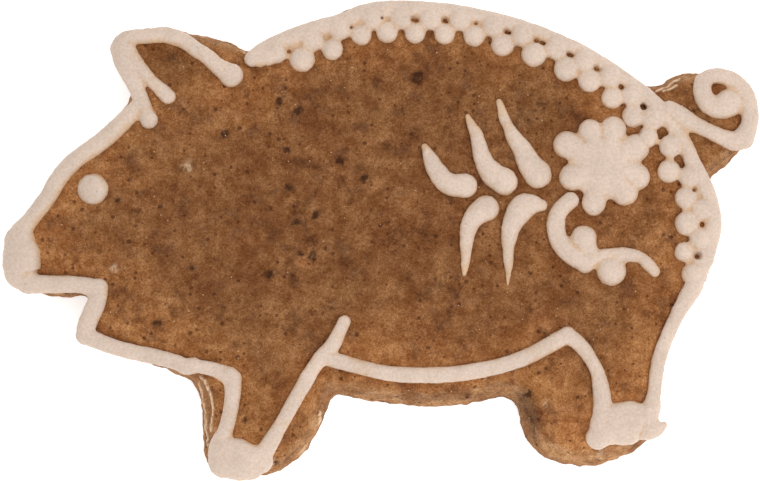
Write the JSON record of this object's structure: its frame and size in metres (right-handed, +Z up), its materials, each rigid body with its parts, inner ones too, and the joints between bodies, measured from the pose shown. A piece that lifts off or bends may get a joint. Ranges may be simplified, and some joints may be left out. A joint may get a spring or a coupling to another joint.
{
  "type": "gingerbread cookie",
  "caption": "Flat pig-shaped gingerbread cookie with a piped icing outline, beads along its back, a curled tail, a flower, a scroll and tapered drops.",
  "frame": {"origin": "middle of the bounding box's underside, on the flat face the cookie lies on", "axes": "+X from the snout towards the tail, +Y from the feet towards the back, +Z up from the flat underside to the icing"},
  "size_m": [0.0966, 0.062, 0.008],
  "materials": {
    "dough": "matte browned gingerbread with fine crumb and dark specks",
    "icing": "dry satin cream-white sugar icing"
  },
  "bodies": {
    "root": {"gingerbread": "dough", "icing_outline": "icing", "icing_flower": "icing", "icing_scroll": "icing", "icing_eye": "icing", "icing_drop_1": "icing", "icing_drop_2": "icing", "icing_drop_3": "icing", "icing_drop_4": "icing", "icing_drop_5": "icing"}
  },
  "joints": []
}
